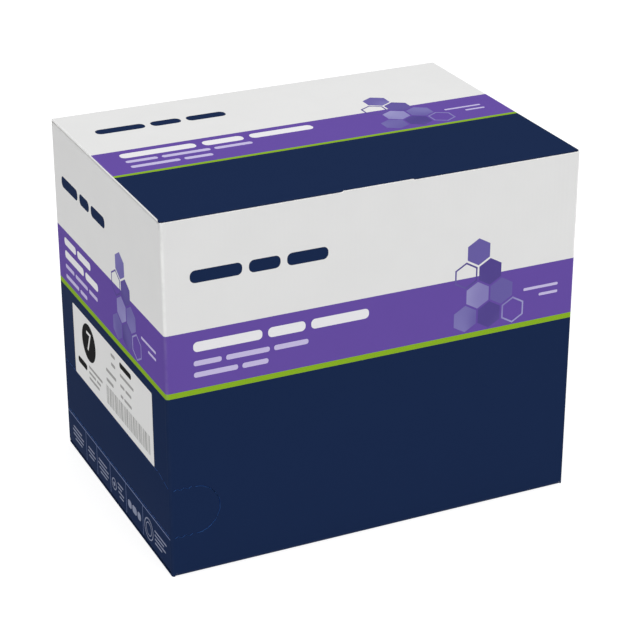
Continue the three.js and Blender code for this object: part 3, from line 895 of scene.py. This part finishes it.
for way, name in ((-1, "left"), (1, "right")):
    body = f"dust_flap_{name}"
    back_end = SIDE_CREASE_HALF if way < 0 else SIDE_CREASE_HALF - LAYER
    middle = (back_end - SIDE_CREASE_HALF) / 2
    front_line = -SIDE_CREASE_HALF + DUST_STEP

    # the flap itself, from just past its fold to its tip
    near, turn_in = CREASE_LAND, DUST_FRONT_CUT
    flap = flat_sheet(
        f"dust_flap_{name}_board", turn_in - near, SIDE_CREASE_HALF + back_end,
        (way * (FOLD_X - (near + turn_in) / 2), middle, DUST_TOP),
    )
    corners = {}
    for reach in (near, turn_in):
        front = front_line + DUST_STEP * reach / turn_in
        corners[round(FOLD_X - reach, 6)] = (front, back_end - DUST_TAPER * reach)
    for x, (front, back) in corners.items():
        pick(flap, "VERT", lambda point: abs(abs(point.x) - x) < HAIR and point.y < 0)
        shift(0, front + SIDE_CREASE_HALF, 0)
        pick(flap, "VERT", lambda point: abs(abs(point.x) - x) < HAIR and point.y > 0)
        shift(0, back - back_end, 0)
    pick(flap, "EDGE", lambda point: abs(point.x) < FOLD_X - turn_in + HAIR)
    run_on(-way * (DUST_REACH - turn_in), 0, 0)
    pick(flap, "VERT", lambda point: abs(point.x) < FOLD_X - DUST_REACH + HAIR and point.y > 0)
    shift(0, -DUST_TAPER * (DUST_REACH - turn_in), 0)
    pick(flap, "VERT", lambda point: abs(point.x) < FOLD_X - DUST_REACH + HAIR)
    bpy.ops.mesh.bevel(offset=DUST_TIP_CORNER, segments=5, affect="VERTICES")
    done()
    make_board(flap, [flap_print_across], inner_liner_across, board_edge)
    tip = FOLD_X - DUST_REACH
    ends = [corner.co.y for corner in flap.data.vertices if abs(corner.co.x) < tip + HAIR]
    open_edge(flap, (-way, 0, 0), lambda point: abs(point.x) < tip + HAIR)
    fit_fluting(
        flap, (way * tip, min(ends), DUST_TOP - BOARD / 2),
        (way * tip, max(ends), DUST_TOP - BOARD / 2), (-way, 0, 0), fluting_paper,
    )
    smooth(flap)
    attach(flap, body)
    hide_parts(body)

    # its fold, which bends between the wall and the flap
    fold = flat_sheet(
        f"dust_fold_{name}", CREASE_LAND, SIDE_CREASE_HALF + back_end,
        (way * (FOLD_X - CREASE_LAND / 2), middle, DUST_TOP),
    )
    for x, (front, back) in ((FOLD_X, (front_line, back_end)), *corners.items()):
        pick(fold, "VERT", lambda point: abs(abs(point.x) - x) < HAIR and point.y < 0)
        shift(0, front + SIDE_CREASE_HALF, 0)
        pick(fold, "VERT", lambda point: abs(abs(point.x) - x) < HAIR and point.y > 0)
        shift(0, back - back_end, 0)
    pick(fold, "EDGE", lambda point: abs(point.x) > FOLD_X - HAIR)
    bend(way * QUARTER, (way * FOLD_X, 0, DUST_FOLD_Z), (0, 1, 0))
    run_on(0, 0, -CREASE_LAND)
    pick(
        fold, "VERT",
        lambda point: point.y < front_line + HAIR
        and (abs(point.x) > FOLD_X + HAIR or point.z < DUST_TOP - HAIR),
    )
    shift(0, -DUST_STEP, 0)
    done()
    make_board(fold, [flap_print_across], inner_liner_across, board_edge)
    smooth(fold)
    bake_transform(fold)


# Lid
# The top panel, printed like the walls, creased to the back wall behind and to the tuck flap
# in front. An ear at each front corner closes the opening beside the narrower tuck flap.
LID_HALF = 0.147
TUCK_HALF = 0.145
TUCK_FOLD_Y = -0.100
EAR_FRONT = -0.102
LID_BACK = FOLD_Y - CREASE_LAND
LID_FRONT = TUCK_FOLD_Y + CREASE_LAND
LID_BANDS = (-0.0219, -0.0187, 0.0230)
TUCK_TURN = math.radians(98)
TUCK_REACH = 0.032
TUCK_CORNER = 0.012

# The lid's rims at its side edges, and its navy at the tuck fold, are painted paler: partly rubbed
# wear, partly a painted highlight along the edges.
SIDE_RUB_AND_HIGHLIGHT = {0: (0.1458, 0.1471)}
lid_white = printed_paper("lid_white", PAPER_WHITE, (0,), SIDE_RUB_AND_HIGHLIGHT, 0.35)
lid_purple = printed_paper("lid_purple", BAND_PURPLE, (0,), SIDE_RUB_AND_HIGHLIGHT, 0.08)
lid_green = printed_paper("lid_green", BAND_GREEN, (0,), SIDE_RUB_AND_HIGHLIGHT, 0.08)
lid_navy = printed_paper("lid_navy", BAND_NAVY, (0,), {1: (0.1003, 0.1016)}, 0.006)
LID_INKS = [lid_navy, lid_green, lid_purple, lid_white]

lid = flat_sheet(
    "lid_board", 2 * LID_HALF, LID_BACK - LID_FRONT, (0, (LID_BACK + LID_FRONT) / 2, TOP),
)
for x in (-TUCK_HALF, TUCK_HALF):
    slice_through(lid, (x, 0, 0), (1, 0, 0))
for side in (-1, 1):
    pick(
        lid, "EDGE",
        lambda point: point.y < LID_FRONT + HAIR and side * point.x > TUCK_HALF - HAIR,
    )
    run_on(0, EAR_FRONT - LID_FRONT, 0)
done()
for y in LID_BANDS:
    slice_through(lid, (0, y, 0), (0, 1, 0))
for face in lid.data.polygons:
    face.material_index = sum(face.center.y > y for y in LID_BANDS)
make_board(lid, LID_INKS, inner_liner_along, board_edge)
# the ink runs over the ears' cut edges
for face in lid.data.polygons:
    if face.center.y < LID_FRONT - HAIR and TOP - BOARD + HAIR < face.center.z < TOP - HAIR:
        face.material_index = 0
smooth(lid)
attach(lid, "lid")
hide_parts("lid")

fold = flat_sheet("lid_fold", 2 * LID_HALF, CREASE_LAND, (0, FOLD_Y - CREASE_LAND / 2, TOP))
pick(fold, "EDGE", lambda point: point.y > FOLD_Y - HAIR)
bend(-QUARTER, (0, FOLD_Y, TOP - FOLD), (1, 0, 0))
run_on(0, 0, -CREASE_LAND)
done()
make_board(fold, [lid_white], inner_liner_along, board_edge)
smooth(fold)
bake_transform(fold)


# Print on the lid
# The front wall's print again, laid out for the top and read from the front. It is ink on the
# lid's white liner, in films 0.03 mm proud, and it turns with the lid.
LID_FACE = facing((-RIGHT, -BACK, TOP), (1, 0, 0), (0, 1, 0), (0, 0, 1))
marks = []
ink_words(marks, ink_navy, [(18, 53), (57.5, 79), (83.5, 112)], 162.4, 171.6)
ink_words(marks, ink_paper, [(17, 70), (75, 104), (109, 155)], 112.6, 121.0)
ink_words(marks, ink_lilac, [(17, 39), (42, 76), (79, 106)], 103.6, 107.8)
ink_words(marks, ink_lilac, [(17, 51), (54, 74)], 94.0, 98.2)
ink_words(marks, ink_lilac, [(252, 280)], 108.0, 110.2)
ink_words(marks, ink_lilac, [(265, 280)], 101.6, 103.8)
ink_cells(marks, 208, 97.9)
lay_print("lid_print", marks, LID_FACE, "lid")


# Tuck flap
# Creased to the lid's front edge, it slides down behind the front wall and leans a little
# inwards. Its free corners are rounded, and its outside carries on the lid's navy.
tuck_down = Vector((0, math.sin(TUCK_TURN - QUARTER), -math.cos(TUCK_TURN - QUARTER)))

fold = flat_sheet(
    "tuck_fold", 2 * TUCK_HALF, CREASE_LAND, (0, TUCK_FOLD_Y + CREASE_LAND / 2, TOP),
)
pick(fold, "EDGE", lambda point: point.y < TUCK_FOLD_Y + HAIR)
bend(TUCK_TURN, (0, TUCK_FOLD_Y, TOP - FOLD), (1, 0, 0))
run_on(*(CREASE_LAND * tuck_down))
done()
make_board(fold, [lid_navy], inner_liner_along, board_edge)
smooth(fold)
tuck_start = Vector((
    0, TUCK_FOLD_Y - FOLD * math.sin(TUCK_TURN), TOP - FOLD + FOLD * math.cos(TUCK_TURN),
))
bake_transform(fold)

flap_top = tuck_start + CREASE_LAND * tuck_down
flap = flat_sheet(
    "tuck_flap_board", 2 * TUCK_HALF, TUCK_REACH - CREASE_LAND,
    flap_top + (TUCK_REACH - CREASE_LAND) / 2 * tuck_down, (TUCK_TURN, 0, 0),
)
pick(flap, "VERT", lambda point: point.z < flap_top.z - 0.01)
bpy.ops.mesh.bevel(offset=TUCK_CORNER, segments=8, affect="VERTICES")
done()
make_board(flap, [lid_navy], inner_liner_along, board_edge)
tuck_end = TUCK_REACH - CREASE_LAND
open_edge(flap, tuck_down, lambda point: (point - flap_top).dot(tuck_down) > tuck_end - HAIR)
inside_way = Vector((1, 0, 0)).cross(tuck_down)
edge_line = flap_top + tuck_end * tuck_down + BOARD / 2 * inside_way
flute_half = TUCK_HALF - TUCK_CORNER
fit_fluting(
    flap, edge_line - Vector((flute_half, 0, 0)), edge_line + Vector((flute_half, 0, 0)),
    tuck_down, fluting_paper,
)
smooth(flap)
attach(flap, "tuck_flap")
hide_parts("tuck_flap")


# Floor, light and camera
# A plain white studio: a wide pale floor, a soft key from the front right, a soft top light, a
# weak fill from the left and an even surround. The camera stands where the photograph was taken.
floor = flat_sheet("studio_floor", 12, 12, (0, 0, -0.0001))
floor_paint = bpy.data.materials.new("studio_floor")
floor_paint.use_nodes = True
paint = floor_paint.node_tree.nodes["Principled BSDF"]
paint.inputs["Base Color"].default_value = (0.35, 0.35, 0.35, 1)
paint.inputs["Roughness"].default_value = 0.9
paint.inputs["Specular IOR Level"].default_value = 0.0
paint.inputs["Emission Color"].default_value = (1, 1, 1, 1)
paint.inputs["Emission Strength"].default_value = 0.80
floor.data.materials.append(floor_paint)

surround = bpy.data.worlds.new("studio")
surround.use_nodes = True
sky = surround.node_tree
way = sky.nodes.new("ShaderNodeTexCoord")
heights = sky.nodes.new("ShaderNodeSeparateXYZ")
glow = sky.nodes.new("ShaderNodeMapRange")
glow.inputs["To Min"].default_value = 0.25
glow.inputs["To Max"].default_value = 0.95
sky.links.new(way.outputs["Generated"], heights.inputs["Vector"])
sky.links.new(heights.outputs["Z"], glow.inputs["Value"])
sky.links.new(glow.outputs["Result"], sky.nodes["Background"].inputs["Strength"])
sky.nodes["Background"].inputs["Color"].default_value = (1, 1, 1, 1)
bpy.context.scene.world = surround
bpy.context.scene.view_settings.view_transform = "Standard"


def soft_light(name, place, size, power):
    bpy.ops.object.light_add(type="AREA", location=place)
    light = bpy.context.object
    light.name = name
    light.data.shape = "DISK"
    light.data.size = size
    light.data.energy = power
    aim = Vector((0, 0, 0.12)) - Vector(place)
    light.rotation_euler = aim.to_track_quat("-Z", "Y").to_euler()


soft_light("key", (0.7, -2.2, 1.9), 1.6, 20)
soft_light("top", (0.1, 0.3, 2.4), 1.8, 15.3)
soft_light("fill", (-2.2, -0.5, 1.0), 1.4, 2.0)

bpy.ops.object.camera_add(location=(-0.5483, -1.1893, 0.7231))
camera = bpy.context.object
camera.data.lens = 116.47
camera.data.sensor_width = 36
camera.data.clip_end = 50
view_way = Vector((0.38356363, 0.82116956, -0.42256300))
camera.rotation_euler = view_way.to_track_quat("-Z", "Y").to_euler()
bpy.context.scene.camera = camera
